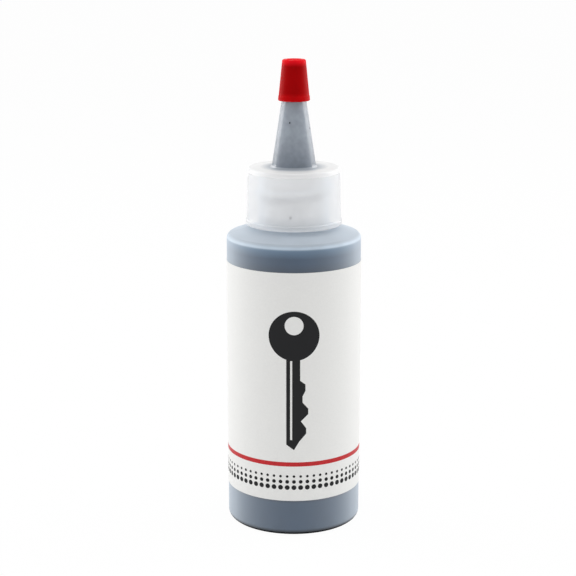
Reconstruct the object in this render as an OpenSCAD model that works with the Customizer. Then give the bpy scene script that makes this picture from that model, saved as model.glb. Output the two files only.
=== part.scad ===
// Squeeze bottle of graphite lock lubricant: a see-through polyethylene bottle full of powder, with a wrap
// label, a screw closure with a moulded spout, and a push-on cap that seals the spout's tip.
// Millimetres, +Z up along the bottle's axis, origin at the centre of the standing ring, front towards -Y.

/* [Bottle] */
// Outside diameter of the body
body_d = 33.5; // [31:0.5:38]
// Height of the shoulder's outer edge above the base
body_h = 73.8; // [55:0.1:95]
// Thickness of the blown wall
wall = 0.9; // [0.7:0.05:1.2]
// Round between the wall and the base
base_round = 1.5; // [1.4:0.1:3]
// Rise of the pushed-up base above the standing ring
base_rise = 1.6; // [1:0.1:2.2]
// Width of the flat ring that the bottle stands on
foot_w = 2; // [1.5:0.1:3]
// Width of the slope from the standing ring up to the flat of the base
push_up_run = 3; // [2.5:0.1:5]
// Round at the shoulder's outer edge
shoulder_round = 1.4; // [0.5:0.1:1.6]
// Slope of the shoulder, in degrees
shoulder_slope = 17; // [12:1:24]

/* [Neck finish] */
// Diameter of the neck between the threads
neck_d = 17.5; // [16.8:0.1:18.4]
// Thickness of the neck's wall between the threads
neck_wall = 1.6; // [1.2:0.05:2]
// Height of the neck from the shoulder's slope to its rim
neck_h = 12.9; // [11.5:0.1:16]
// Fillet between the shoulder and the neck
neck_fillet = 0.8; // [0.4:0.1:1.2]
// Round at the neck's rim
lip_round = 0.3; // [0.2:0.05:0.5]
// Height of the thread ridge
thread_depth = 1.05; // [0.8:0.05:1.3]
// Rise of the thread in one turn
thread_pitch = 3.175; // [2.8:0.025:3.5]
// Turns of thread
thread_turns = 1.5; // [1:0.25:2]
// Width of the thread ridge where it leaves the wall
thread_root_w = 1.9; // [1.7:0.05:2]
// Width of the thread ridge's crest
thread_crest_w = 0.8; // [0.6:0.05:0.9]
// Drop from the neck's rim to the middle of the thread's upper end
thread_drop = 1.9; // [1.6:0.1:2.6]

/* [Closure] */
// Thickness of the skirt at its lower end
skirt_wall = 1.75; // [1.5:0.05:2.2]
// Draft of the skirt's outside, in degrees
skirt_draft = 1.6; // [0:0.1:2]
// How far the flared rim stands out from the skirt
rim_out = 0.16; // [0.1:0.02:0.5]
// Height of the flared rim
rim_h = 1.2; // [1:0.1:2]
// Thickness of the deck
deck_t = 1.2; // [0.9:0.1:1.6]
// Round at the deck's outer edge
deck_round = 0.6; // [0.4:0.1:1]
// Depth of the plug seal below the deck
plug_h = 2.6; // [1.6:0.1:4]
// Thickness of the plug seal's wall
plug_wall = 0.9; // [0.6:0.05:1.2]

/* [Spout] */
// Diameter of the spout's cone at the deck
spout_base_d = 11; // [9.6:0.1:12.4]
// Diameter of the spout's tip
spout_tip_d = 3.5; // [3.4:0.1:4.6]
// Height of the spout above the deck
spout_h = 24.8; // [20:0.1:34]
// Thickness of the spout's wall, measured level
spout_wall = 1; // [0.7:0.05:1.1]
// Fillet between the deck and the spout
spout_fillet = 0.5; // [0.3:0.1:1.2]
// Diameter of the orifice
orifice_d = 1.6; // [1:0.1:1.8]
// Length of the orifice's straight land
orifice_l = 2.5; // [1.5:0.1:4]

/* [Tip cap] */
// Height of the tip cap
tip_h = 10; // [7:0.1:13]
// Thickness of the tip cap's roof
tip_roof = 1.4; // [1:0.1:2.4]
// Wall of the tip cap at its mouth
tip_mouth_wall = 0.74; // [0.6:0.02:1.2]
// Wall of the tip cap level with the spout's tip
tip_top_wall = 1.15; // [0.9:0.05:1.6]
// Round at the tip cap's upper edge
tip_round = 0.4; // [0.3:0.05:0.5]
// Width of the rim round the dished top of the tip cap
dish_rim_w = 0.9; // [0.7:0.05:1.2]
// Depth of the dish in the tip cap's top
dish_depth = 0.2; // [0.1:0.05:0.4]
// Height of the bead round the tip cap's mouth
bead_h = 1.2; // [0.8:0.1:2]
// How far the bead stands out
bead_out = 0.06; // [0.04:0.02:0.2]

/* [Wrap label] */
// Height of the label's lower edge above the base
label_lift = 9.3; // [5:0.1:14]
// Drop from the shoulder's edge to the label's upper edge
label_drop = 6.5; // [3:0.1:12]
// Thickness of the label
label_t = 0.08; // [0.06:0.01:0.12]
// Width of the lap at the back
label_lap = 6; // [3:0.5:12]

/* [Graphite] */
// Drop from the shoulder's edge to the top of the powder
headspace = 1.6; // [1.5:0.1:20]
// Thickness of the film of powder that clings inside
film_t = 0.2; // [0.1:0.05:0.4]

/* [Clearances] */
// Between the thread's crests and the walls that they face
thread_clear = 0.25; // [0.2:0.01:0.3]
// Between the plug seal and the neck's bore
plug_clear = 0.08; // [0.05:0.01:0.1]
// Between the neck's rim and the deck
seat_clear = 0.2; // [0.1:0.05:0.4]
// Between the skirt and the shoulder
skirt_clear = 0.45; // [0.3:0.05:1]
// Between the tip cap and the spout
tip_clear = 0.12; // [0.08:0.01:0.2]
// Between the graphite and the walls that hold it
powder_clear = 0.05; // [0.03:0.01:0.1]
// Between the label and the bottle, filled by the glue
glue_t = 0.02; // [0.01:0.01:0.04]

/* [Hidden] */
$fn = 96;
arc_steps = 8;
thread_steps = 36;
thread_fade_steps = 4;

// Small rounds and the depth to which a thread ridge is sunk into its wall
push_up_round = 1.5;
inner_round = 0.4;
rim_round = 0.15;
bead_round = 0.25;
tip_edge_round = 0.3;
dish_round = 0.15;
thread_sink = 0.4;

// Bottle
body_r = body_d / 2;
inner_r = body_r - wall;
stand_r = body_r - base_round - foot_w;
push_up_r = stand_r - push_up_run;
floor_round = max(base_round - wall, inner_round);

// Height of a surface that runs parallel to the shoulder, a depth below it
function shoulder_z(r, depth = 0) = body_h + (body_r - r) * tan(shoulder_slope) - depth / cos(shoulder_slope);

// Neck
neck_r = neck_d / 2;
bore_r = neck_r - neck_wall;
thread_r = neck_r + thread_depth;
neck_root_z = shoulder_z(neck_r);
neck_top_z = neck_root_z + neck_h;
thread_rise = thread_turns * thread_pitch;
thread_low_z = neck_top_z - thread_drop - thread_rise;

// Closure
skirt_in_r = thread_r + thread_clear;
skirt_out_r = skirt_in_r + skirt_wall;
skirt_z = shoulder_z(skirt_in_r) + skirt_clear;
rim_r = skirt_out_r + rim_out;
rim_top_z = skirt_z + rim_h;
deck_under_z = neck_top_z + seat_clear;
deck_z = deck_under_z + deck_t;
plug_r = bore_r - plug_clear;
plug_in_r = plug_r - plug_wall;
plug_z = deck_under_z - plug_h;

function skirt_r(z) = skirt_out_r - (z - skirt_z) * tan(skirt_draft);

// Spout
spout_base_r = spout_base_d / 2;
spout_tip_r = spout_tip_d / 2;
spout_top_z = deck_z + spout_h;
orifice_r = orifice_d / 2;
land_z = spout_top_z - orifice_l;

function spout_r(z) = spout_base_r + (spout_tip_r - spout_base_r) * (z - deck_z) / spout_h;
function spout_bore_r(z) = spout_r(z) - spout_wall;

// Tip cap
tip_roof_z = spout_top_z + tip_clear;
tip_top_z = tip_roof_z + tip_roof;
tip_mouth_z = tip_top_z - tip_h;
tip_in_r = spout_tip_r + tip_clear;
tip_mouth_in_r = spout_r(tip_mouth_z) + tip_clear;
tip_out_r = tip_in_r + tip_top_wall;
tip_mouth_r = tip_mouth_in_r + tip_mouth_wall;
tip_top_r = tip_r(tip_top_z);
dish_r = tip_top_r - dish_rim_w;
bead_r = tip_mouth_r + bead_out;
bead_top_z = tip_mouth_z + bead_h;

function tip_r(z) = tip_mouth_r + (tip_out_r - tip_mouth_r) * (z - tip_mouth_z) / (tip_roof_z - tip_mouth_z);

// Wrap label
label_in_r = body_r + glue_t;
label_r = label_in_r + label_t;
label_h = body_h - label_lift - label_drop;
lap_angle = label_lap / label_r * 180 / PI;

// Graphite
powder_r = inner_r - powder_clear;
powder_top_z = body_h - headspace;
film_r = bore_r - powder_clear;
film_top_z = plug_z - powder_clear;

// An outline is a list of corners [r, z, round]. These turn it into points, with an arc at each round corner.
function unit(v) = v / norm(v);
function place(corner) = [corner[0], corner[1]];
function short_turn(angle) = (angle + 540) % 360 - 180;
function corner_arc(before, here, after) =
    let (
        to_before = unit(place(before) - place(here)),
        to_after = unit(place(after) - place(here)),
        half = acos(to_before * to_after) / 2,
        centre = place(here) + unit(to_before + to_after) * here[2] / sin(half),
        first = place(here) + to_before * here[2] / tan(half) - centre,
        last = place(here) + to_after * here[2] / tan(half) - centre,
        start = atan2(first[1], first[0]),
        turn = short_turn(atan2(last[1], last[0]) - start)
    )
    [
        for (i = [0 : arc_steps])
            let (angle = start + turn * i / arc_steps)
            centre + here[2] * [cos(angle), sin(angle)]
    ];
function rounded(outline) =
    let (count = len(outline))
    [
        for (i = [0 : count - 1])
            each outline[i][2] == 0
                ? [place(outline[i])]
                : corner_arc(outline[(i + count - 1) % count], outline[i], outline[(i + 1) % count])
    ];

module turned(outline) {
    rotate_extrude() polygon(rounded(outline));
}

// A helical ridge from its lower end at height z. Its inner and outer faces are given by radius and width,
// and at both ends it fades from its full height into the wall that carries it, to end_inner_r or end_outer_r.
module thread_ridge(z, inner_r, inner_w, outer_r, outer_w, end_inner_r, end_outer_r) {
    steps = round(thread_turns * thread_steps);
    function fade(i) = min(1, i / thread_fade_steps, (steps - i) / thread_fade_steps);
    function ring(i) =
        let (
            angle = 360 * thread_turns * i / steps,
            mid_z = z + thread_rise * i / steps,
            r_in = end_inner_r + (inner_r - end_inner_r) * fade(i),
            r_out = end_outer_r + (outer_r - end_outer_r) * fade(i)
        )
        [
            for (p = [[r_in, -inner_w / 2], [r_out, -outer_w / 2], [r_out, outer_w / 2], [r_in, inner_w / 2]])
                [p[0] * cos(angle), p[0] * sin(angle), mid_z + p[1]]
        ];
    sides = 4;
    points = [for (i = [0 : steps]) each ring(i)];
    walls = [
        for (i = [0 : steps - 1], k = [0 : sides - 1])
            let (a = i * sides + k, b = i * sides + (k + 1) % sides)
            each [[a, b, a + sides], [b, b + sides, a + sides]]
    ];
    last = steps * sides;
    ends = [[0, 2, 1], [0, 3, 2], [last, last + 1, last + 2], [last, last + 2, last + 3]];
    polyhedron(points, concat(walls, ends));
}

module bottle() {
    color("#8A97A3") {
        turned([
            [0, base_rise, 0],
            [push_up_r, base_rise, push_up_round],
            [stand_r, 0, inner_round],
            [body_r, 0, base_round],
            [body_r, body_h, shoulder_round],
            [neck_r, neck_root_z, neck_fillet],
            [neck_r, neck_top_z, lip_round],
            [bore_r, neck_top_z, lip_round],
            [bore_r, shoulder_z(bore_r, wall), 0],
            [inner_r, shoulder_z(inner_r, wall), inner_round],
            [inner_r, wall, floor_round],
            [stand_r, wall, inner_round],
            [push_up_r, base_rise + wall, push_up_round],
            [0, base_rise + wall, 0]
        ]);
        thread_ridge(
            thread_low_z,
            neck_r - thread_sink, thread_root_w,
            thread_r, thread_crest_w,
            neck_r - thread_sink, neck_r - thread_sink / 2
        );
    }
}

module wrap_label() {
    color("#F4F4F2") translate([0, 0, label_lift]) {
        turned([
            [label_in_r, 0, 0],
            [label_r, 0, 0],
            [label_r, label_h, 0],
            [label_in_r, label_h, 0]
        ]);
        rotate([0, 0, 90 - lap_angle / 2])
            rotate_extrude(angle = lap_angle)
                translate([label_in_r + label_t / 2, 0])
                    square([label_t * 3 / 2, label_h]);
    }
}

module powder_charge() {
    color("#3A3F45") turned([
        [0, base_rise + wall + powder_clear, 0],
        [push_up_r, base_rise + wall + powder_clear, push_up_round],
        [stand_r, wall + powder_clear, inner_round],
        [powder_r, wall + powder_clear, floor_round],
        [powder_r, powder_top_z, 0],
        [0, powder_top_z, 0]
    ]);
}

module headspace_dust() {
    depth = wall + powder_clear;
    color("#5A626B") turned([
        [powder_r, powder_top_z + powder_clear, 0],
        [powder_r, shoulder_z(powder_r, depth), inner_round],
        [film_r, shoulder_z(film_r, depth), 0],
        [film_r, film_top_z, 0],
        [film_r - film_t, film_top_z, 0],
        [film_r - film_t, shoulder_z(film_r - film_t, depth + film_t), 0],
        [powder_r - film_t, shoulder_z(powder_r - film_t, depth + film_t), 0],
        [powder_r - film_t, powder_top_z + powder_clear, 0]
    ]);
}

module spout_closure() {
    color("#E4E8EA") {
        turned([
            [skirt_in_r, skirt_z, rim_round],
            [rim_r, skirt_z, rim_round],
            [rim_r, rim_top_z, rim_round],
            [skirt_r(rim_top_z + rim_out), rim_top_z + rim_out, rim_round],
            [skirt_r(deck_z), deck_z, deck_round],
            [spout_base_r, deck_z, spout_fillet],
            [spout_tip_r, spout_top_z, tip_edge_round],
            [orifice_r, spout_top_z, 0],
            [orifice_r, land_z, 0],
            [spout_bore_r(land_z), land_z, 0],
            [spout_bore_r(deck_under_z), deck_under_z, 0],
            [plug_in_r, deck_under_z, 0],
            [plug_in_r, plug_z, 0],
            [plug_r, plug_z, rim_round],
            [plug_r, deck_under_z, 0],
            [skirt_in_r, deck_under_z, 0]
        ]);
        thread_ridge(
            thread_low_z - thread_pitch / 2,
            neck_r + thread_clear, thread_crest_w,
            skirt_in_r + thread_sink, thread_root_w,
            skirt_in_r + thread_sink / 2, skirt_in_r + thread_sink
        );
    }
}

module spout_dust() {
    low_r = spout_bore_r(deck_under_z) - powder_clear;
    high_z = land_z - powder_clear;
    high_r = spout_bore_r(high_z) - powder_clear;
    color("#5A626B") turned([
        [low_r, deck_under_z, 0],
        [high_r, high_z, 0],
        [high_r - film_t, high_z, 0],
        [low_r - film_t, deck_under_z, 0]
    ]);
}

module tip_cap() {
    color("#D3131B") turned([
        [tip_mouth_in_r, tip_mouth_z, bead_round],
        [bead_r, tip_mouth_z, bead_round],
        [bead_r, bead_top_z, 0],
        [tip_r(bead_top_z + bead_out), bead_top_z + bead_out, 0],
        [tip_top_r, tip_top_z, tip_round],
        [dish_r, tip_top_z, dish_round],
        [dish_r - dish_depth, tip_top_z - dish_depth, dish_round],
        [0, tip_top_z - dish_depth, 0],
        [0, tip_roof_z, 0],
        [tip_in_r, tip_roof_z, 0]
    ]);
}

bottle();
wrap_label();
powder_charge();
headspace_dust();
spout_closure();
spout_dust();
tip_cap();
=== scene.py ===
"""Looks of a squeeze bottle of graphite lock lubricant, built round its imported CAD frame.

The bottle, closure, spout film and tip cap are turned from half sections drawn in the XZ plane, and the label
is one sheet wound round the bottle. The stage is a white sweep with a soft box on each side and one above.
All sizes are in metres.
"""

import math

import bmesh
import bpy
from bpy.props import FloatProperty, IntProperty, PointerProperty, StringProperty
from bpy.types import NodeSocket, Operator, Panel, PropertyGroup
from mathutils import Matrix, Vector


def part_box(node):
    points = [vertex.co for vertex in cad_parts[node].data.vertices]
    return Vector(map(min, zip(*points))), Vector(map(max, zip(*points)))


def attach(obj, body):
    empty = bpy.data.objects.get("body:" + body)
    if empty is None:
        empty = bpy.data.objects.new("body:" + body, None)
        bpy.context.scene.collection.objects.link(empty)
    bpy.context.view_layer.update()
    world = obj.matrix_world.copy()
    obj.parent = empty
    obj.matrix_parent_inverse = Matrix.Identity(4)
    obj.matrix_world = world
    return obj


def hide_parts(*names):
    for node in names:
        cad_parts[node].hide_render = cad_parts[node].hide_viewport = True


bl_info = {
    "name": "Graphite Squeeze Bottle",
    "version": (1, 0, 0),
    "blender": (4, 5, 0),
    "location": "3D View > Sidebar > Squeeze Bottle",
    "description": "Models a powder squeeze bottle with its label, closure and tip cap, and sets its stage",
    "category": "Add Mesh",
}

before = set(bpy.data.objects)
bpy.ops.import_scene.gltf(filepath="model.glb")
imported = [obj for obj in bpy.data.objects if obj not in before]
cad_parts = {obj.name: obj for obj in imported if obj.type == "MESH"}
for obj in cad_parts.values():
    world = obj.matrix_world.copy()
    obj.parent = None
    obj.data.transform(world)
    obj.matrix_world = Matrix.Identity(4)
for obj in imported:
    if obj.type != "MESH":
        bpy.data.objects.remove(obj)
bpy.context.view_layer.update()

MM = 0.001
FULL_TURN = 2 * math.pi
ORIGIN = (0, 0, 0)
UP = (0, 0, 1)
WHITE = (1, 1, 1, 1)
TINY = 1e-6
SEED_SIZE = 1 * MM
SMOOTH_ANGLE = math.radians(35)
ROUND_SEGMENTS = 6
ROD_SIDES = 64
DOT_SIDES = 16
SENSOR_WIDTH = 36
NEAR_CLIP = 10 * MM

BOTTLE_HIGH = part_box("bottle")[1]
LABEL_LOW, LABEL_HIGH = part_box("wrap_label")
CLOSURE_LOW, CLOSURE_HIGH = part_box("spout_closure")
SPOUT_DUST_LOW, SPOUT_DUST_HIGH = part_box("spout_dust")
TIP_LOW, TIP_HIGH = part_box("tip_cap")

# Where the bottle's colour changes: a landmark, millimetres above it, and the colour that is reached there.
# Some of these colours are painted light and shade: the dark foot, the shade by the label's edges, the
# highlight along the shoulder's edge, the shadow under the closure's rim, the shade on the neck's root and
# the neck brightened to white.
BOTTLE_ZONES = (
    # Painted contact shade at the foot, over packed powder.
    ("base", 0.9, "foot_colour"),
    ("base", 1.75, "wall_colour"),
    ("label_low", -0.8, "wall_colour"),
    ("label_low", -0.1, "shade_colour"),
    ("label_high", 0.1, "shade_colour"),
    ("label_high", 2.1, "wall_colour"),
    ("shoulder", -3.2, "wall_colour"),
    ("shoulder", -1.1, "top_colour"),
    # Painted highlight along the shoulder's edge, over thick clean plastic.
    ("shoulder", -0.75, "edge_highlight_colour"),
    ("shoulder", -0.4, "edge_highlight_colour"),
    ("shoulder", 0.05, "shoulder_colour"),
    ("shoulder", 1.2, "shoulder_colour"),
    # Painted shadow under the closure's rim.
    ("shoulder", 1.6, "rim_shadow_colour"),
    ("shoulder", 2.1, "rim_shadow_colour"),
    # Painted shade on the neck's root under the skirt.
    ("shoulder", 2.5, "root_shade_colour"),
    # Painted light: the neck brightened to white.
    ("shoulder", 5.7, "neck_brightened_colour"),
)

# Cuts along the key's blade: millimetres above the blade's tip, and past its half width.
KEY_CUTS = (
    (2.2, -0.6), (4.2, 1.1), (5.6, 1.1), (7.4, -0.2), (9.2, 1.6), (10.6, 1.6), (12.2, 0.2), (13.8, 0.2),
    (15.2, 0.9), (16.8, 0.9), (17.8, -0.4),
)

# Rows of dots on the label: height of the row and radius of its dots, in millimetres.
DOT_ROWS = ((12.8, 0.62), (14.3, 0.48), (15.7, 0.34))

# Grains that cling to the closure: degrees round from the front, then height and radius in millimetres.
GRAINS = ((16, 101.8, 0.2), (-70, 100.2, 0.13), (128, 97.4, 0.17), (-150, 94.6, 0.14), (5, 79.5, 0.3))
GRAIN_SHAPE = (1, 0.5, 1.3)
GRAIN_ROUGHNESS = 0.2


def size(name, description, default):
    """A length that the user may change, in metres."""
    return FloatProperty(
        name=name, description=description, default=default, min=0, unit="LENGTH", precision=5
    )


def whole(name, description, default, least=1):
    """A whole number that the user may change."""
    return IntProperty(name=name, description=description, default=default, min=least)


def angle(name, description, degrees):
    """An angle that the user may change."""
    return FloatProperty(
        name=name, description=description, default=math.radians(degrees), subtype="ANGLE"
    )


def fraction(name, description, default):
    """A share of the whole that the user may change."""
    return FloatProperty(name=name, description=description, default=default, min=0, max=1, subtype="FACTOR")


def lamp_power(name, description, default):
    """The power of a lamp that the user may change, in watts."""
    return FloatProperty(name=name, description=description, default=default, min=0, unit="POWER")


def colour(name, description, default):
    """A colour that the user may change, as an sRGB hex value."""
    return StringProperty(name=name, description=description, default=default, maxlen=7)


class BottleSettings(PropertyGroup):
    """Sizes and colours of the blown bottle."""

    turn_steps: whole("Turn steps", "Steps in one turn of the section", 144, 24)
    body_radius: size("Body radius", "Outside radius of the body", BOTTLE_HIGH.x)
    shoulder_height: size("Shoulder height", "Height of the shoulder's outer edge", 73.8 * MM)
    wall: size("Wall", "Thickness of the blown wall", 0.9 * MM)
    base_round: size("Base round", "Round between the wall and the base", 1.5 * MM)
    base_rise: size("Base rise", "Rise of the pushed-up base above the standing ring", 1.6 * MM)
    foot_width: size("Foot width", "Width of the ring that the bottle stands on", 2 * MM)
    push_up_run: size("Push-up run", "Width of the slope up to the flat of the base", 3 * MM)
    push_up_round: size("Push-up round", "Round where the slope meets the flat of the base", 1.5 * MM)
    inner_round: size("Inner round", "Small rounds inside the bottle", 0.4 * MM)
    shoulder_round: size("Shoulder round", "Round at the shoulder's outer edge", 1.4 * MM)
    shoulder_slope: angle("Shoulder slope", "Slope of the shoulder", 17)
    neck_radius: size("Neck radius", "Radius of the neck between its threads", 8.75 * MM)
    neck_wall: size("Neck wall", "Thickness of the neck's wall", 1.6 * MM)
    neck_top: size("Neck top", "Height of the neck's rim", BOTTLE_HIGH.z)
    neck_fillet: size("Neck fillet", "Fillet between the shoulder and the neck", 0.8 * MM)
    lip_round: size("Lip round", "Round at the neck's rim", 0.3 * MM)
    seam_angle: angle("Seam angle", "Turn of the mould's parting plane from the side", 5)
    seam_width: size("Seam width", "Width of the parting line", 0.34 * MM)
    seam_height: size("Seam height", "How far the parting line stands out", 0.05 * MM)
    pinch_length: size("Pinch length", "Length of the pinch-off bar under the base", 13 * MM)
    pinch_width: size("Pinch width", "Width of the pinch-off bar", 0.7 * MM)
    pinch_height: size("Pinch height", "Height of the pinch-off bar", 0.35 * MM)
    gloss_start: size("Gloss start", "Height from which the wall above the foot turns glossy", 0.7 * MM)
    gloss_full: size("Gloss full", "Height from which the wall has its full gloss", 1.6 * MM)
    powder_colour: colour("Powder colour", "Settled graphite powder", "#33383E")
    sheen_colour: colour("Sheen colour", "Glancing light in the milky wall", "#E2ECF6")
    wall_colour: colour("Wall colour", "Powder seen through the wall", "#31475F")
    # Painted shade: the foot is darkened for the contact shadow under the base's round, over powder packed in
    # the corner.
    foot_colour: colour("Foot colour", "Powder packed in the corner of the base", "#12161B")
    shade_colour: colour("Shade colour", "Wall in the shade of the label's edges", "#2A394B")
    top_colour: colour("Top colour", "Wall above the powder, at the shoulder's edge", "#5A7690")
    # Painted highlight: the shoulder's round is lightened for the light from above that it catches, over
    # thick plastic clear of powder.
    edge_highlight_colour: colour("Edge colour", "Thick clean plastic at the shoulder's edge", "#BFCFDE")
    shoulder_colour: colour("Shoulder colour", "Shoulder with a film of powder behind it", "#8F99A4")
    # Painted shadow: the shoulder under the closure's rim is darkened for the shadow that the rim casts.
    rim_shadow_colour: colour("Gap colour", "Dusty ring of the shoulder under the closure", "#7A8591")
    # Painted shade: the neck's root under the skirt is darkened for the shade inside the closure.
    root_shade_colour: colour("Root colour", "The neck's root, with more powder behind it", "#AEB7C0")
    # Painted light: the neck is plain white to make up for the light that the milky skirt lets through to it.
    neck_brightened_colour: colour("Neck colour", "Neck with a film of powder behind it", "#FFFFFF")


class ThreadSettings(PropertyGroup):
    """Sizes of the screw thread that the neck and the closure share."""

    step_count: whole("Steps", "Steps in one turn of the thread", 48, 12)
    fade_count: whole("Fade", "Steps in which an end fades into the wall", 5)
    pitch: size("Pitch", "Rise of the thread in one turn", 3.175 * MM)
    turns: FloatProperty(name="Turns", description="Turns of thread", default=1.5, min=0.5)
    depth: size("Depth", "Height of the ridge", 1.05 * MM)
    root_width: size("Root width", "Width of the ridge at the wall", 1.9 * MM)
    crest_width: size("Crest width", "Width of the ridge's crest", 0.8 * MM)
    drop: size("Drop", "From the neck's rim to the middle of the ridge's upper end", 1.9 * MM)
    clearance: size("Clearance", "Between a crest and the wall that it faces", 0.25 * MM)
    sink: size("Sink", "Depth to which a ridge is sunk into its wall", 0.4 * MM)


class LabelSettings(PropertyGroup):
    """Sizes and colours of the wrap label and its print."""

    turn_steps: whole("Turn steps", "Steps in one turn of the sheet", 140, 24)
    ramp_steps: whole("Ramp steps", "Steps in which the upper end climbs", 4)
    lap_steps: whole("Lap steps", "Steps of the lap", 8)
    print_steps: whole("Print steps", "Steps in one turn of the key and the dots", 192, 24)
    rule_steps: whole("Rule steps", "Steps of the red rule", 144, 24)
    inner_radius: size("Inner radius", "Radius of the glued side", 16.77 * MM)
    sheet: size("Sheet", "Thickness of the label stock", 0.06 * MM)
    ink: size("Ink", "How far the print stands on the sheet", 0.015 * MM)
    low: size("Lower edge", "Height of the lower edge", LABEL_LOW.z)
    high: size("Upper edge", "Height of the upper edge", LABEL_HIGH.z)
    lap: size("Lap", "Width of the lap at the back", 6 * MM)
    ramp: size("Ramp", "Length in which the upper end climbs on to the lower end", 1.2 * MM)
    key_middle: size("Key middle", "Height of the middle of the key's bow", 51.6 * MM)
    key_bow: size("Key bow", "Outside radius of the key's bow", 6.2 * MM)
    key_hole: size("Key hole", "Radius of the hole in the bow", 2.3 * MM)
    hole_share: fraction("Hole share", "Rise of the hole in the bow, as a share of the bow's radius", 0.42)
    key_blade: size("Key blade", "Length of the blade below the bow's middle", 29 * MM)
    key_half: size("Key half width", "Half the width of the blade", 1.9 * MM)
    key_point: size("Key point", "Height of the slope at the blade's tip", 1.4 * MM)
    groove: size("Groove", "Width of the groove along the blade", 0.5 * MM)
    groove_shift: size("Groove shift", "From the blade's middle to the groove, away from its cuts", 0.7 * MM)
    groove_start: size("Groove start", "From the blade's tip to the groove", 2.6 * MM)
    rule_height: size("Rule height", "Height of the red rule above the base", 18.3 * MM)
    rule_width: size("Rule width", "Width of the red rule", 1.1 * MM)
    dot_count: whole("Dots", "Dots in one row", 57, 8)
    print_margin: size("Print margin", "Bare paper between the print and the lap", 3 * MM)
    paper_colour: colour("Paper colour", "Coated label stock", "#F3F3F1")
    black_colour: colour("Black ink", "Black print", "#101114")
    red_colour: colour("Red ink", "Red print", "#C4262C")


class ClosureSettings(PropertyGroup):
    """Sizes and colours of the moulded closure and its spout."""

    turn_steps: whole("Turn steps", "Steps in one turn of the section", 128, 24)
    skirt_bottom: size("Skirt bottom", "Height of the skirt's lower end", CLOSURE_LOW.z)
    skirt_wall: size("Skirt wall", "Thickness of the skirt at its lower end", 1.75 * MM)
    skirt_draft: angle("Skirt draft", "Draft of the skirt's outside", 1.6)
    rim_out: size("Rim", "How far the flared rim stands out", 0.16 * MM)
    rim_height: size("Rim height", "Height of the flared rim", 1.2 * MM)
    rim_round: size("Rim round", "Round on the rim's edges", 0.15 * MM)
    seat: size("Seat", "Gap between the neck's rim and the deck", 0.2 * MM)
    deck: size("Deck", "Thickness of the deck", 1.2 * MM)
    deck_round: size("Deck round", "Round at the deck's edge", 0.6 * MM)
    plug_height: size("Plug height", "Depth of the plug seal below the deck", 2.6 * MM)
    plug_wall: size("Plug wall", "Thickness of the plug seal", 0.9 * MM)
    plug_clearance: size("Plug clearance", "Between the plug seal and the neck's bore", 0.08 * MM)
    spout_base: size("Spout base", "Radius of the spout at the deck", 5.5 * MM)
    spout_tip: size("Spout tip", "Radius of the spout's tip", 1.75 * MM)
    spout_top: size("Spout top", "Height of the spout's tip", CLOSURE_HIGH.z)
    spout_wall: size("Spout wall", "Thickness of the spout's wall", 1 * MM)
    spout_fillet: size("Spout fillet", "Fillet between the deck and the spout", 0.5 * MM)
    orifice: size("Orifice", "Radius of the orifice", 0.8 * MM)
    orifice_land: size("Orifice land", "Length of the orifice's straight land", 2.5 * MM)
    tip_round: size("Tip round", "Round at the spout's tip", 0.3 * MM)
    film: size("Film", "Thickness of the powder that clings in the spout", 0.2 * MM)
    foot_fade: size("Foot fade", "Height in which the spout clears above its dusty foot", 8 * MM)
    # Width of the deck's ring of powder seen through it and painted contact shade round the spout.
    deck_dust_and_shade_width: size("Haze width", "Width of the greyed ring of the deck round the spout", 3 * MM)
    patch: size("Patch", "Size of the patches of powder in the spout", 1.5 * MM)
    patch_strength: fraction("Patch strength", "How much the spout's patches change its colour", 0.08)
    skirt_veil: fraction("Skirt veil", "Share of light that the skirt's outside stops", 0.5)
    inside_veil: fraction("Inside veil", "Share of light that the skirt's inside stops", 0.03)
    thread_veil: fraction("Thread veil", "Share of light that the skirt's thread stops", 0.16)
    deck_veil: fraction("Deck veil", "Share of light that the deck stops", 0.9)
    spout_veil: fraction("Spout veil", "Share of light that the spout's outside stops", 0.6)
    bore_veil: fraction("Bore veil", "Share of light that the spout's bore stops", 0.06)
    skirt_colour: colour("Skirt colour", "Natural polyethylene of the skirt", "#F1F2F4")
    deck_colour: colour("Deck colour", "Thick plastic of the deck, clear of powder", "#F0F0EF")
    deck_edge_colour: colour("Deck edge colour", "Edge of the deck, lit from above", "#FBFBFC")
    ring_colour: colour("Ring colour", "Fillet round the spout's foot", "#BFC6CF")
    # Partly painted shade: the deck round the spout is greyed by the powder film seen through it and darkened
    # for the spout's contact shade.
    deck_dust_and_shade_colour: colour("Haze ring colour", "Deck round the spout, greyed by powder", "#8A96A5")
    spout_colour: colour("Spout colour", "Natural polyethylene of the spout, greyed by powder", "#BCC5D0")
    foot_colour: colour("Foot colour", "The spout's foot, with more powder behind it", "#919BA8")
    film_colour: colour("Film colour", "Powder that clings to the bore", "#414B58")
    haze_colour: colour("Haze colour", "Thin film of powder inside the shoulder and neck", "#9AA5B1")


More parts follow.
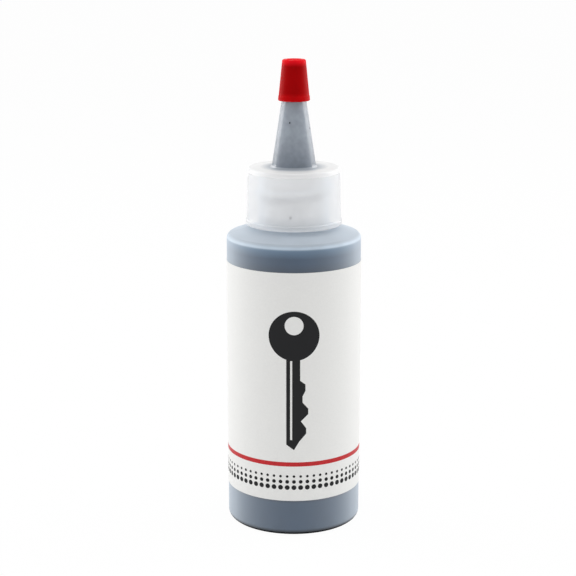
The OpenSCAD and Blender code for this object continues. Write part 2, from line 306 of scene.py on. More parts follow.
class TipSettings(PropertyGroup):
    """Sizes and colours of the push-on tip cap."""

    turn_steps: whole("Turn steps", "Steps in one turn of the section", 96, 24)
    mouth: size("Mouth", "Height of the open lower end", TIP_LOW.z)
    top: size("Top", "Height of the top", TIP_HIGH.z)
    clearance: size("Clearance", "Between the cap and the spout", 0.12 * MM)
    mouth_wall: size("Mouth wall", "Wall at the mouth", 0.74 * MM)
    roof_wall: size("Roof wall", "Wall level with the spout's tip", 1.15 * MM)
    edge_round: size("Edge round", "Round at the upper edge", 0.4 * MM)
    dish_rim: size("Dish rim", "Width of the rim round the dished top", 0.9 * MM)
    dish_depth: size("Dish depth", "Depth of the dish", 0.2 * MM)
    dish_round: size("Dish round", "Rounds of the dish", 0.15 * MM)
    gate_radius: size("Gate radius", "Radius of the moulding gate's mark", 0.45 * MM)
    gate_height: size("Gate height", "Height of the moulding gate's mark", 0.07 * MM)
    bead_height: size("Bead height", "Height of the bead round the mouth", 1.2 * MM)
    bead_out: size("Bead", "How far the bead stands out", 0.06 * MM)
    bead_round: size("Bead round", "Rounds at the mouth", 0.25 * MM)
    bead_fade: size("Bead fade", "Height in which the bead's red deepens to the wall's", 0.8 * MM)
    glow_depth: size("Glow depth", "Depth to which light reaches from the top", 1.6 * MM)
    sheen_colour: colour("Sheen colour", "Red light that leaves the cap at a glancing angle", "#FF3035")
    wall_colour: colour("Wall colour", "Red over the dark spout", "#A30003")
    # Painted light: the bead and the top are lighter for the light that falls on them and gets through them.
    bead_glow_colour: colour("Bead colour", "Red of the bead round the mouth", "#BC0207")
    top_colour: colour("Top colour", "Red of the top, where light gets through", "#EE1220")


class StageSettings(PropertyGroup):
    """Camera and light of the stage."""

    lens: FloatProperty(name="Lens", description="Focal length", default=100.7, min=1, unit="CAMERA")
    camera_side: FloatProperty(
        name="Camera side", description="Place of the camera along X", default=-1.47 * MM, unit="LENGTH",
        precision=5,
    )
    camera_distance: size("Camera distance", "From the bottle's axis to the camera", 394 * MM)
    camera_height: size("Camera height", "Height of the camera above the floor", 153.4 * MM)
    camera_tilt: angle("Camera tilt", "How far the camera looks down", 13.38)
    side_power: lamp_power("Side power", "Power of each side soft box", 1.8)
    side_reach: size("Side reach", "From the bottle's axis out to each side soft box", 0.52)
    side_back: size("Side back", "How far each side soft box stands behind the bottle", 0.2)
    side_height: size("Side height", "Height of the middle of each side soft box", 0.28)
    side_width: size("Side width", "Width of each side soft box", 0.5)
    side_length: size("Side length", "Length of each side soft box", 0.7)
    top_power: lamp_power("Top power", "Power of the top soft box", 1.4)
    top_front: size("Top front", "How far the top soft box hangs in front of the bottle", 0.12)
    top_height: size("Top height", "Height of the top soft box", 0.75)
    top_width: size("Top width", "Width of the top soft box", 0.6)
    aim_height: size("Aim height", "Height that the soft boxes are aimed at", 60 * MM)
    fill_level: FloatProperty(name="Fill", description="Strength of the even fill light", default=0.52, min=0)
    floor_size: size("Floor size", "Length of each side of the floor", 6)
    floor_glow: fraction("Floor glow", "Share of plain white in the floor where it is seen", 0.97)
    floor_colour: colour("Floor colour", "Pale sweep under the bottle", "#FAFAFA")


class BottleScene(PropertyGroup):
    """All settings of the squeeze bottle."""

    bottle: PointerProperty(type=BottleSettings)
    thread: PointerProperty(type=ThreadSettings)
    label: PointerProperty(type=LabelSettings)
    closure: PointerProperty(type=ClosureSettings)
    tip: PointerProperty(type=TipSettings)
    stage: PointerProperty(type=StageSettings)


def select_points(piece, test):
    """In edit mode, selects the vertices whose place passes a test, and the edges and faces they span."""
    mesh = bmesh.from_edit_mesh(piece.data)
    for vertex in mesh.verts:
        vertex.select_set(False)
    mesh.select_flush(False)
    chosen = [vertex for vertex in mesh.verts if test(vertex.co)]
    if not chosen:
        raise RuntimeError(f"no vertex of {piece.name} is where it should be")
    for vertex in chosen:
        vertex.select_set(True)
    mesh.select_flush(True)
    bmesh.update_edit_mesh(piece.data)


def start_mesh(name):
    """A new piece in edit mode: a tiny plane, all selected, which is then merged to a point or deleted."""
    bpy.ops.object.select_all(action="DESELECT")
    bpy.ops.mesh.primitive_plane_add(size=SEED_SIZE, enter_editmode=True)
    piece = bpy.context.object
    piece.name = name
    piece.data.name = name
    return piece


def draw_section(name, corners, closed=True):
    """Draws a half section as edges: one vertex, extruded from corner to corner, each corner then rounded.

    A corner is (radius, height) or (radius, height, round). The new piece stays in edit mode, all selected.
    """
    piece = start_mesh(name)
    bpy.ops.mesh.merge(type="CENTER")
    places = [Vector((corner[0], 0, corner[1])) for corner in corners]
    bpy.ops.transform.translate(value=places[0])
    ends = places[1:] + places[:1] if closed else places[1:]
    for start, end in zip(places, ends):
        bpy.ops.mesh.extrude_region_move(TRANSFORM_OT_translate={"value": end - start})
    bpy.ops.mesh.select_all(action="SELECT")
    bpy.ops.mesh.remove_doubles(threshold=TINY)
    for index, corner in enumerate(corners):
        if len(corner) < 3:
            continue
        here = places[index]
        before = (places[index - 1] - here).normalized()
        after = (places[(index + 1) % len(places)] - here).normalized()
        reach = corner[2] / math.tan(before.angle(after) / 2)
        select_points(piece, lambda place: (place - here).length < TINY)
        bpy.ops.mesh.bevel(
            offset=reach, offset_type="OFFSET", affect="VERTICES", segments=ROUND_SEGMENTS, profile=0.5
        )
    bpy.ops.mesh.select_all(action="SELECT")
    return piece


def close_mesh(piece):
    """Merges doubled vertices and turns every face outwards."""
    bpy.ops.mesh.select_all(action="SELECT")
    bpy.ops.mesh.remove_doubles(threshold=TINY)
    bpy.ops.mesh.normals_make_consistent(inside=False)
    mesh = bmesh.from_edit_mesh(piece.data)
    if not all(edge.is_manifold for edge in mesh.edges):
        raise RuntimeError(f"{piece.name} isn't closed")


def turn_section(name, corners, steps, closed=True):
    """Turns a half section right round the bottle's axis, and stays in edit mode."""
    piece = draw_section(name, corners, closed)
    bpy.ops.mesh.spin(steps=steps, angle=FULL_TURN, center=ORIGIN, axis=UP)
    close_mesh(piece)
    return piece


def combine(piece, tool, operation):
    """Joins, cuts or meets a piece with a tool mesh, which is then deleted. Both are in object mode."""
    bpy.ops.object.select_all(action="DESELECT")
    bpy.context.view_layer.objects.active = piece
    piece.select_set(True)
    bpy.ops.object.modifier_add(type="BOOLEAN")
    modifier = piece.modifiers[-1]
    modifier.operation = operation
    modifier.solver = "EXACT"
    modifier.object = tool
    bpy.ops.object.modifier_apply(modifier=modifier.name)
    bpy.data.objects.remove(tool)
    if not piece.data.polygons:
        raise RuntimeError(f"{piece.name} has nothing left")
    bpy.ops.object.mode_set(mode="EDIT")
    close_mesh(piece)
    bpy.ops.object.mode_set(mode="OBJECT")


def finish_piece(piece, body, materials, nodes=()):
    """Smooths a finished piece, gives it its materials and hangs it on its body."""
    if bpy.context.mode != "OBJECT":
        bpy.ops.object.mode_set(mode="OBJECT")
    bpy.ops.object.select_all(action="DESELECT")
    bpy.context.view_layer.objects.active = piece
    piece.select_set(True)
    bpy.ops.object.shade_smooth_by_angle(angle=SMOOTH_ANGLE)
    piece.data.materials.clear()
    for material in materials:
        piece.data.materials.append(material)
    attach(piece, body)
    if nodes:
        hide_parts(*nodes)
    piece.select_set(False)


def wind_thread(name, thread, low, root, crest):
    """Winds a ridge up a screw thread from the height of its lower end, one step at a time.

    root and crest are (radius, width). At both ends the ridge shrinks towards its root until the wall
    swallows it.
    """
    steps = round(thread.turns * thread.step_count)
    turn = FULL_TURN / thread.step_count
    rise = thread.pitch / thread.step_count
    ridge = draw_section(name, [
        (root[0], low - root[1] / 2),
        (crest[0], low - crest[1] / 2),
        (crest[0], low + crest[1] / 2),
        (root[0], low + root[1] / 2),
    ])
    bpy.ops.mesh.edge_face_add()
    share = 1
    for index in range(steps + 1):
        if index:
            bpy.ops.mesh.extrude_region_move(TRANSFORM_OT_translate={"value": (0, 0, rise)})
            bpy.ops.transform.rotate(value=-turn, orient_axis="Z", center_override=ORIGIN)
        old, share = share, min(1, (min(index, steps - index) + 1) / (thread.fade_count + 1))
        middle = (root[0] * math.cos(index * turn), root[0] * math.sin(index * turn), low + index * rise)
        bpy.ops.transform.resize(value=[share / old] * 3, center_override=middle)
    close_mesh(ridge)
    bpy.ops.object.mode_set(mode="OBJECT")
    return ridge


def linear(code):
    """Turns an sRGB hex colour into linear red, green, blue and 1."""
    parts = [int(code[place:place + 2], 16) / 255 for place in (1, 3, 5)]
    return (*[part / 12.92 if part <= 0.04045 else ((part + 0.055) / 1.055) ** 2.4 for part in parts], 1)


def add_node(tree, kind, inputs=(), stops=(), **settings):
    """Adds a node with its settings, its inputs as values or sockets to link, and a colour ramp's stops."""
    node = tree.nodes.new(kind)
    for name, value in settings.items():
        setattr(node, name, value)
    for name, value in dict(inputs).items():
        if isinstance(value, NodeSocket):
            tree.links.new(value, node.inputs[name])
        else:
            node.inputs[name].default_value = value
    if stops:
        ramp = node.color_ramp
        while len(ramp.elements) < len(stops):
            ramp.elements.new(1)
        for element, (place, shade) in zip(ramp.elements, stops):
            element.position = place
            element.color = shade
    return node


def start_material(name, **surface):
    """A new material with one Principled shader, its constant sockets set by name, and its coordinates."""
    material = bpy.data.materials.new(name)
    material.use_nodes = True
    tree = material.node_tree
    shader = tree.nodes["Principled BSDF"]
    for socket, value in surface.items():
        shader.inputs[socket.replace("_", " ")].default_value = value
    place = add_node(tree, "ShaderNodeTexCoord").outputs["Object"]
    return material, tree, shader, place


def link(tree, shader, **sockets):
    """Links sockets to a shader's inputs by name."""
    for name, socket in sockets.items():
        tree.links.new(socket, shader.inputs[name.replace("_", " ")])


def per(length):
    """The scale that makes a noise repeat about once in a length, in object coordinates."""
    return 1 / length


def zoned(tree, length, zones):
    """Colours that change along a length, from pairs of a place on it and a colour, in rising order."""
    low, high = zones[0][0], zones[-1][0]
    share = add_node(
        tree, "ShaderNodeMapRange", {"Value": length, "From Min": low, "From Max": high}
    ).outputs["Result"]
    return add_node(
        tree, "ShaderNodeValToRGB", {"Fac": share},
        [((spot - low) / (high - low), linear(shade)) for spot, shade in zones],
    ).outputs["Color"]


def mottled(tree, shade, pattern, spread, span=(0.3, 0.7)):
    """A colour made darker and lighter by a pattern, whose span is mapped on to a spread of brightness."""
    dark, light = spread
    level = add_node(
        tree, "ShaderNodeMapRange",
        {"Value": pattern, "From Min": span[0], "From Max": span[1], "To Min": dark, "To Max": light},
    ).outputs["Result"]
    return add_node(
        tree, "ShaderNodeVectorMath", {0: shade, "Scale": level}, operation="SCALE"
    ).outputs["Vector"]


# Blow-moulded natural LDPE over graphite powder: a satin, faintly uneven skin, dark blue-grey where powder
# lies behind it, paler on the shoulder and neck where only a film clings, and milky at a glancing angle.
# Painted into its colour by height: a dark foot for the contact shadow, shade by the label's edges, a
# highlight along the shoulder's edge, the shadow under the closure's rim, shade on the neck's root, and a
# neck brightened to white for the light that comes through the milky skirt.
def blown_polyethylene(bottle, label):
    """Material of the blown bottle, coloured by height."""
    material, tree, shader, place = start_material(
        "Blow-moulded natural LDPE over graphite", IOR=1.51,
        Sheen_Roughness=1, Sheen_Tint=linear(bottle.sheen_colour),
    )
    glance = add_node(tree, "ShaderNodeLayerWeight", {"Blend": 0.5}).outputs["Facing"]
    milk = add_node(
        tree, "ShaderNodeMapRange",
        {"Value": glance, "From Min": 0, "From Max": 0.6, "To Min": 0.14, "To Max": 0.9},
    ).outputs["Result"]
    height = add_node(tree, "ShaderNodeSeparateXYZ", {"Vector": place}).outputs["Z"]
    # The lowest edge mirrors its own contact shadow, so its gloss fades out there.
    clear = add_node(
        tree, "ShaderNodeMapRange",
        {"Value": height, "From Min": bottle.gloss_start, "From Max": bottle.gloss_full},
    ).outputs["Result"]
    milk = add_node(tree, "ShaderNodeMath", {0: milk, 1: clear}, operation="MULTIPLY").outputs["Value"]
    shine = add_node(tree, "ShaderNodeMath", {0: clear, 1: 0.5}, operation="MULTIPLY").outputs["Value"]
    marks = {
        "base": 0, "label_low": label.low, "label_high": label.high, "shoulder": bottle.shoulder_height,
    }
    tone = zoned(tree, height, [
        (marks[mark] + rise * MM, getattr(bottle, shade)) for mark, rise, shade in BOTTLE_ZONES
    ])
    cloud = add_node(
        tree, "ShaderNodeTexNoise", {"Vector": place, "Scale": per(5 * MM), "Detail": 2}
    ).outputs["Fac"]
    tone = mottled(tree, tone, cloud, (0.88, 1.12), (0.1, 0.9))
    gloss = add_node(
        tree, "ShaderNodeMapRange",
        {"Value": cloud, "From Min": 0.1, "From Max": 0.9, "To Min": 0.3, "To Max": 0.42},
    ).outputs["Result"]
    wave = add_node(
        tree, "ShaderNodeTexNoise", {"Vector": place, "Scale": per(9 * MM), "Detail": 1}
    ).outputs["Fac"]
    peel = add_node(
        tree, "ShaderNodeTexNoise", {"Vector": place, "Scale": per(0.7 * MM), "Detail": 2}
    ).outputs["Fac"]
    slow = add_node(
        tree, "ShaderNodeBump", {"Height": wave, "Strength": 1, "Distance": 0.06 * MM}
    ).outputs["Normal"]
    skin = add_node(
        tree, "ShaderNodeBump", {"Height": peel, "Strength": 1, "Distance": 0.002 * MM, "Normal": slow}
    ).outputs["Normal"]
    link(
        tree, shader, Base_Color=tone, Roughness=gloss, Normal=skin,
        Sheen_Weight=milk, Specular_IOR_Level=shine,
    )
    return material


# Injection-moulded natural LDPE: milky and half see-through, so each wall veils what stands behind it, and
# light from all sides wanders through it. A plain alpha on the shader gives each surface its share of veil.
def moulded_polyethylene(part, veil, zones, across=False, patch=8 * MM, strength=0.01):
    """Material of one part of the closure: the share of light that it stops, and its colours by height.

    The colours go by the distance from the axis instead if across is set. Patch and strength are the size of
    the lighter and darker patches and how much they change the colour.
    """
    material, tree, shader, place = start_material(
        f"Injection-moulded natural LDPE {part}", IOR=1.51, Alpha=veil,
        Subsurface_Weight=0.25, Subsurface_Scale=1 * MM, Subsurface_Radius=(1, 1, 1),
    )
    if across:
        level = add_node(
            tree, "ShaderNodeVectorMath", {0: place, 1: (1, 1, 0)}, operation="MULTIPLY"
        ).outputs["Vector"]
        length = add_node(tree, "ShaderNodeVectorMath", {0: level}, operation="LENGTH").outputs["Value"]
    else:
        length = add_node(tree, "ShaderNodeSeparateXYZ", {"Vector": place}).outputs["Z"]
    shade = zoned(tree, length, zones)
    cloud = add_node(
        tree, "ShaderNodeTexNoise", {"Vector": place, "Scale": per(patch), "Detail": 1}
    ).outputs["Fac"]
    tone = mottled(tree, shade, cloud, (1 - strength, 1 + strength))
    gloss = add_node(
        tree, "ShaderNodeMapRange",
        {"Value": cloud, "From Min": 0.3, "From Max": 0.7, "To Min": 0.28, "To Max": 0.32},
    ).outputs["Result"]
    wave = add_node(
        tree, "ShaderNodeTexNoise", {"Vector": place, "Scale": per(3 * MM), "Detail": 1}
    ).outputs["Fac"]
    skin = add_node(
        tree, "ShaderNodeBump", {"Height": wave, "Strength": 1, "Distance": 0.004 * MM}
    ).outputs["Normal"]
    link(tree, shader, Base_Color=tone, Roughness=gloss, Normal=skin)
    return material


# Graphite powder, settled or clinging: dull dark grey with lighter and darker drifts and a faint flake glint.
def graphite(name, shade):
    """Material of loose or clinging powder."""
    material, tree, shader, place = start_material(name, IOR=1.6)
    drift = add_node(
        tree, "ShaderNodeTexNoise", {"Vector": place, "Scale": per(2.5 * MM), "Detail": 5, "Roughness": 0.65}
    ).outputs["Fac"]
    grain = add_node(
        tree, "ShaderNodeTexVoronoi", {"Vector": place, "Scale": per(0.5 * MM)}
    ).outputs["Distance"]
    tone = mottled(tree, linear(shade)[:3], drift, (0.75, 1.25))
    dull = add_node(
        tree, "ShaderNodeMapRange",
        {"Value": grain, "From Min": 0, "From Max": 0.8, "To Min": 0.5, "To Max": 0.85},
    ).outputs["Result"]
    bumps = add_node(
        tree, "ShaderNodeBump", {"Height": grain, "Strength": 0.6, "Distance": 0.05 * MM}
    ).outputs["Normal"]
    link(tree, shader, Base_Color=tone, Roughness=dull, Normal=bumps)
    return material


# Coated label stock: bright white with a soft sheen, and a fibre grain that is drawn at half a millimetre,
# coarser than the real one, so that it shows.
def coated_paper(shade):
    """Material of the label's sheet."""
    material, tree, shader, place = start_material("Coated white label stock", IOR=1.45)
    fibre = add_node(
        tree, "ShaderNodeTexNoise", {"Vector": place, "Scale": per(0.5 * MM), "Detail": 3, "Roughness": 0.7}
    ).outputs["Fac"]
    tone = mottled(tree, linear(shade)[:3], fibre, (0.975, 1.01))
    gloss = add_node(
        tree, "ShaderNodeMapRange",
        {"Value": fibre, "From Min": 0.3, "From Max": 0.7, "To Min": 0.42, "To Max": 0.56},
    ).outputs["Result"]
    grain = add_node(
        tree, "ShaderNodeBump", {"Height": fibre, "Strength": 0.4, "Distance": 0.006 * MM}
    ).outputs["Normal"]
    link(tree, shader, Base_Color=tone, Roughness=gloss, Normal=grain)
    return material


# Offset printing ink on coated stock: full and a little glossier than the sheet, thinner in fine mottles.
def printing_ink(name, shade):
    """Material of one colour of the label's print."""
    material, tree, shader, place = start_material(name, IOR=1.5, Specular_IOR_Level=0.25)
    mottle = add_node(
        tree, "ShaderNodeTexNoise", {"Vector": place, "Scale": per(0.8 * MM), "Detail": 3}
    ).outputs["Fac"]
    tone = mottled(tree, linear(shade)[:3], mottle, (0.9, 1.15))
    gloss = add_node(
        tree, "ShaderNodeMapRange",
        {"Value": mottle, "From Min": 0.3, "From Max": 0.7, "To Min": 0.36, "To Max": 0.48},
    ).outputs["Result"]
    link(tree, shader, Base_Color=tone, Roughness=gloss)
    return material


# Injection-moulded red LDPE: a full red with little gloss, deeper over the dark spout, and glowing at its
# outline with a red sheen. The top and the bead are painted lighter: painted highlight and glow for light
# that falls on them and gets through them.
def red_polyethylene(tip):
    """Material of the tip cap, coloured by height."""
    material, tree, shader, place = start_material(
        "Injection-moulded red LDPE", IOR=1.51, Specular_IOR_Level=0.04,
        Sheen_Weight=1, Sheen_Roughness=0.45, Sheen_Tint=linear(tip.sheen_colour),
    )
    height = add_node(tree, "ShaderNodeSeparateXYZ", {"Vector": place}).outputs["Z"]
    # The bead and the top are painted lighter: painted highlight and glow.
    tone = zoned(tree, height, [
        (tip.mouth + tip.bead_height, tip.bead_glow_colour),
        (tip.mouth + tip.bead_height + tip.bead_fade, tip.wall_colour),
        (tip.top - tip.glow_depth, tip.wall_colour),
        (tip.top - tip.edge_round, tip.top_colour),
    ])
    cloud = add_node(
        tree, "ShaderNodeTexNoise", {"Vector": place, "Scale": per(3 * MM), "Detail": 3}
    ).outputs["Fac"]
    tone = mottled(tree, tone, cloud, (0.95, 1.05))
    gloss = add_node(
        tree, "ShaderNodeMapRange",
        {"Value": cloud, "From Min": 0.3, "From Max": 0.7, "To Min": 0.3, "To Max": 0.38},
    ).outputs["Result"]
    skin = add_node(
        tree, "ShaderNodeBump", {"Height": cloud, "Strength": 1, "Distance": 0.006 * MM}
    ).outputs["Normal"]
    link(tree, shader, Base_Color=tone, Roughness=gloss, Normal=skin)
    return material


def shoulder_z(bottle, radius, depth=0):
    """Height of a surface that runs parallel to the shoulder, a depth below it."""
    slope = bottle.shoulder_slope
    return bottle.shoulder_height + (bottle.body_radius - radius) * math.tan(slope) - depth / math.cos(slope)


def skirt_inside(settings):
    """Radius of the skirt's inside, which clears the neck's thread."""
    return settings.bottle.neck_radius + settings.thread.depth + settings.thread.clearance


def deck_height(settings):
    """Height of the top of the closure's deck."""
    return settings.bottle.neck_top + settings.closure.seat + settings.closure.deck


def spout_radius(settings, height):
    """Outside radius of the spout at a height."""
    closure = settings.closure
    deck = deck_height(settings)
    taper = (closure.spout_base - closure.spout_tip) / (closure.spout_top - deck)
    return closure.spout_base - (height - deck) * taper


class SQUEEZE_BOTTLE_OT_bottle(Operator):
    """Turns the blown bottle and adds its parting line, pinch-off bar and thread"""

    bl_idname = "squeeze_bottle.bottle"
    bl_label = "Bottle"

    def execute(self, context):
        settings = context.scene.squeeze_bottle
        bottle = settings.bottle
        thread = settings.thread
        inside = bottle.body_radius - bottle.wall
        stand = bottle.body_radius - bottle.base_round - bottle.foot_width
        push_up = stand - bottle.push_up_run
        bore = bottle.neck_radius - bottle.neck_wall
        piece = turn_section("bottle_blown", [
            (0, bottle.base_rise),
            (push_up, bottle.base_rise, bottle.push_up_round),
            (stand, 0, bottle.inner_round),
            (bottle.body_radius, 0, bottle.base_round),
            (bottle.body_radius, bottle.shoulder_height, bottle.shoulder_round),
            (bottle.neck_radius, shoulder_z(bottle, bottle.neck_radius), bottle.neck_fillet),
            (bottle.neck_radius, bottle.neck_top, bottle.lip_round),
            (bore, bottle.neck_top, bottle.lip_round),
            (bore, shoulder_z(bottle, bore, bottle.wall)),
            (inside, shoulder_z(bottle, inside, bottle.wall), bottle.inner_round),
            (inside, bottle.wall, bottle.base_round - bottle.wall),
            (stand, bottle.wall, bottle.inner_round),
            (push_up, bottle.base_rise + bottle.wall, bottle.push_up_round),
            (0, bottle.base_rise + bottle.wall),
        ], bottle.turn_steps, closed=False)
        self.raise_seam(piece, bottle)
        bpy.ops.object.mode_set(mode="OBJECT")
        combine(piece, self.pinch_bar(bottle), "UNION")
        ridge_low = bottle.neck_top - thread.drop - thread.turns * thread.pitch
        sunk = bottle.neck_radius - thread.sink
        ridge = wind_thread(
            "neck_thread", thread, ridge_low,
            (sunk, thread.root_width), (bottle.neck_radius + thread.depth, thread.crest_width),
        )
        combine(piece, ridge, "UNION")
        skin = blown_polyethylene(bottle, settings.label)
        finish_piece(piece, "bottle", [skin], ["bottle"])
        return {"FINISHED"}

    def raise_seam(self, piece, bottle):
        """Raises the mould's parting line on the wall and shoulder, on both sides."""
        step = FULL_TURN / bottle.turn_steps
        seam = round(bottle.seam_angle / step) * step
        across = Vector((-math.sin(seam), math.cos(seam), 0))

        def on_seam(place):
            radius = place.xy.length
            outside = radius > bottle.body_radius - bottle.wall / 2 and place.z > bottle.base_round
            above = place.z > shoulder_z(bottle, radius, bottle.wall / 2) and radius > bottle.neck_radius
            return abs(place.dot(across)) < TINY and (outside or above)

        select_points(piece, on_seam)
        bpy.ops.mesh.bevel(offset=bottle.seam_width / 2, affect="EDGES", segments=2, profile=0.5)
        select_points(piece, on_seam)
        bpy.ops.transform.shrink_fatten(value=-bottle.seam_height)

    def pinch_bar(self, bottle):
        """The straight bar under the base where the mould pinched the tube shut."""
        bpy.ops.object.select_all(action="DESELECT")
        bpy.ops.mesh.primitive_cube_add(size=1, location=(0, 0, bottle.base_rise))
        bar = bpy.context.object
        bar.scale = (bottle.pinch_length, bottle.pinch_width, bottle.pinch_height * 2)
        bar.rotation_euler.z = bottle.seam_angle
        bpy.ops.object.transform_apply(location=True, rotation=True, scale=True)
        bpy.ops.object.mode_set(mode="EDIT")
        bpy.ops.mesh.select_all(action="SELECT")
        bpy.ops.mesh.bevel(offset=bottle.pinch_height / 2, affect="EDGES", segments=3)
        bpy.ops.object.mode_set(mode="OBJECT")
        return bar


class SQUEEZE_BOTTLE_OT_label(Operator):
    """Winds the label round the bottle with its lap at the back, and prints it"""

    bl_idname = "squeeze_bottle.label"
    bl_label = "Label and print"

    def execute(self, context):
        label = context.scene.squeeze_bottle.label
        outer = label.inner_radius + label.sheet
        lap = label.lap / outer
        ramp = label.ramp / outer
        sheet = draw_section("label_sheet", [
            (label.inner_radius, label.low),
            (outer, label.low),
            (outer, label.high),
            (label.inner_radius, label.high),
        ])
        bpy.ops.mesh.edge_face_add()
        bpy.ops.transform.rotate(
            value=-(math.pi / 2 + lap / 2), orient_axis="Z", center_override=ORIGIN
        )
        climb = (outer + label.ink) / label.inner_radius
        growth = climb ** (1 / label.ramp_steps)
        bpy.ops.mesh.spin(steps=label.turn_steps, angle=FULL_TURN - ramp, center=ORIGIN, axis=UP)
        for step in range(label.ramp_steps):
            bpy.ops.mesh.spin(steps=1, angle=ramp / label.ramp_steps, center=ORIGIN, axis=UP)
            bpy.ops.transform.resize(value=(growth, growth, 1), center_override=ORIGIN)
        bpy.ops.mesh.spin(steps=label.lap_steps, angle=lap, center=ORIGIN, axis=UP)
        close_mesh(sheet)
        finish_piece(sheet, "bottle", [coated_paper(label.paper_colour)], ["wrap_label"])
        black_ink = printing_ink("Black offset ink", label.black_colour)
        red_ink = printing_ink("Red offset ink", label.red_colour)
        finish_piece(self.key(label, outer), "bottle", [black_ink])
        finish_piece(self.dots(label, outer), "bottle", [black_ink])
        finish_piece(self.rule(label, outer), "bottle", [red_ink])
        return {"FINISHED"}

    def ink_skin(self, name, label, outer):
        """A thin skin on the label, which a shape is met with to print it."""
        skin = turn_section(name, [
            (outer, label.low),
            (outer + label.ink, label.low),
            (outer + label.ink, label.high),
            (outer, label.high),
        ], label.print_steps)
        bpy.ops.object.mode_set(mode="OBJECT")
        return skin

    def prism(self, name, corners, depth):
        """A flat outline seen from the front, given depth towards the front."""
        shape = draw_section(name, corners)
        bpy.ops.mesh.edge_face_add()
        bpy.ops.mesh.extrude_region_move(TRANSFORM_OT_translate={"value": (0, -depth, 0)})
        close_mesh(shape)
        bpy.ops.object.mode_set(mode="OBJECT")
        return shape

    def rod(self, name, radius, height, depth):
        """A round bar that points to the front."""
        bpy.ops.object.select_all(action="DESELECT")
        bpy.ops.mesh.primitive_cylinder_add(
            vertices=ROD_SIDES, radius=radius, depth=depth, location=(0, -depth / 2, height),
            rotation=(math.pi / 2, 0, 0),
        )
        bar = bpy.context.object
        bar.name = name
        bpy.ops.object.transform_apply(location=True, rotation=True, scale=True)
        return bar

    def key(self, label, outer):
        """A plain key, bow up, printed on the front."""
        depth = outer * 2
        top = label.key_middle
        tip = top - label.key_blade
        half = label.key_half
        edge = [(half + out * MM, tip + rise * MM) for rise, out in KEY_CUTS]
        root = edge[-1][0]
        blade = self.prism("label_key", [
            (-half, top), (-half, tip + label.key_point), (0, tip), *edge, (root, top),
        ], depth)
        combine(blade, self.rod("bow", label.key_bow, top, depth), "UNION")
        hole_middle = top + label.key_bow * label.hole_share
        combine(blade, self.rod("hole", label.key_hole, hole_middle, depth * 2), "DIFFERENCE")
        groove = self.prism("groove", [
            (-label.groove_shift - label.groove / 2, tip + label.groove_start),
            (-label.groove_shift + label.groove / 2, tip + label.groove_start),
            (-label.groove_shift + label.groove / 2, top - label.key_bow),
            (-label.groove_shift - label.groove / 2, top - label.key_bow),
        ], depth * 2)
        combine(blade, groove, "DIFFERENCE")
        combine(blade, self.ink_skin("skin", label, outer), "INTERSECT")
        return blade

    def dots(self, label, outer):
        """Rows of dots round the label, smaller row by row, like powder thinning out."""
        dots = start_mesh("label_dots")
        bpy.ops.mesh.delete(type="VERT")
        for height, radius in DOT_ROWS:
            bpy.ops.mesh.primitive_cylinder_add(
                vertices=DOT_SIDES, radius=radius * MM, depth=outer, location=(0, -outer, height * MM),
                rotation=(math.pi / 2, 0, 0),
            )
        bpy.ops.mesh.select_all(action="SELECT")
        reach = self.print_reach(label, outer)
        bpy.ops.transform.rotate(value=-reach / 2, orient_axis="Z", center_override=ORIGIN)
        bpy.ops.mesh.spin(steps=label.dot_count - 1, angle=reach, dupli=True, center=ORIGIN, axis=UP)
        close_mesh(dots)
        bpy.ops.object.mode_set(mode="OBJECT")
        combine(dots, self.ink_skin("skin", label, outer), "INTERSECT")
        return dots

    def rule(self, label, outer):
        """A red rule round the label."""
        low = label.rule_height
        rule = draw_section("label_rule", [
            (outer, low),
            (outer + label.ink, low),
            (outer + label.ink, low + label.rule_width),
            (outer, low + label.rule_width),
        ])
        bpy.ops.mesh.edge_face_add()
        reach = self.print_reach(label, outer)
        bpy.ops.transform.rotate(value=math.pi / 2 - reach / 2, orient_axis="Z", center_override=ORIGIN)
        bpy.ops.mesh.spin(steps=label.rule_steps, angle=reach, center=ORIGIN, axis=UP)
        close_mesh(rule)
        return rule

    def print_reach(self, label, outer):
        """The angle that the print takes up round the bottle, which stops short of the lap at the back."""
        return FULL_TURN - (label.lap + 2 * label.print_margin) / outer


